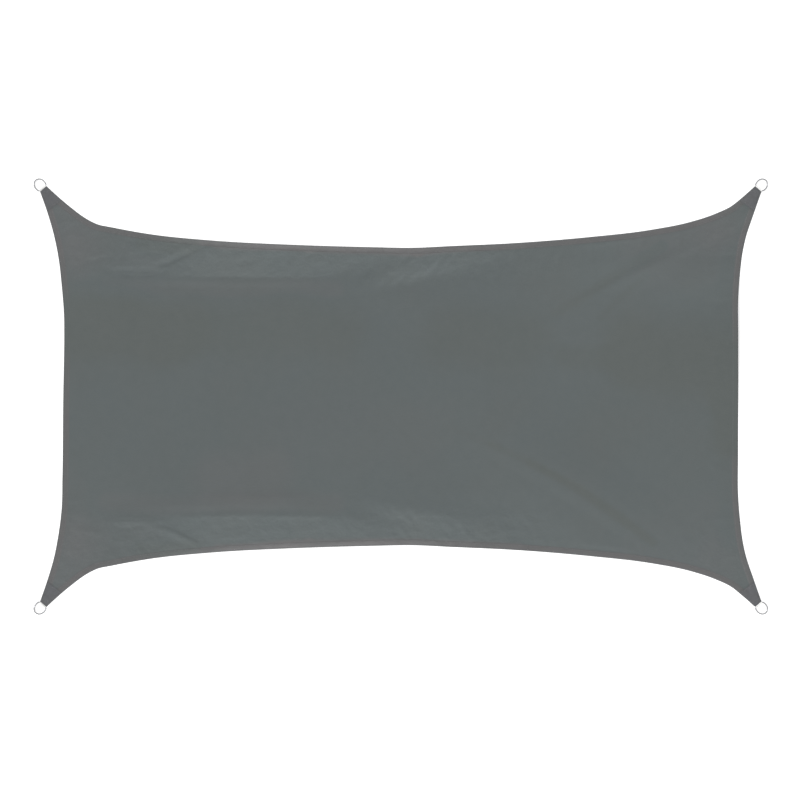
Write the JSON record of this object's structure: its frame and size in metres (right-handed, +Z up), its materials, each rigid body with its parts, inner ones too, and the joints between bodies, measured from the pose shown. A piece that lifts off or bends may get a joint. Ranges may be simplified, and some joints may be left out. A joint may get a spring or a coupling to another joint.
{
  "type": "shade sail",
  "caption": "Rectangular cloth shade sail with concave hemmed edges and a steel D-ring on a webbing loop at each patched tip, laid out flat with low folds.",
  "frame": {"origin": "on the floor under the middle of the sail's bounding box", "axes": "+X along the long sides, +Y towards the rear long side, +Z up, out of the sail's face"},
  "size_m": [5.0028, 2.9708, 0.0279],
  "materials": {
    "cloth": "matt anthracite weave",
    "patch": "matt anthracite weave, doubled",
    "webbing": "ribbed off-white webbing",
    "steel": "polished stainless steel"
  },
  "bodies": {
    "root": {"sail_cloth": "cloth", "patch_rear_left": "patch", "patch_rear_right": "patch", "patch_front_left": "patch", "patch_front_right": "patch", "webbing_rear_left": "webbing", "webbing_rear_right": "webbing", "webbing_front_left": "webbing", "webbing_front_right": "webbing", "ring_rear_left": "steel", "ring_rear_right": "steel", "ring_front_left": "steel", "ring_front_right": "steel"}
  },
  "joints": []
}
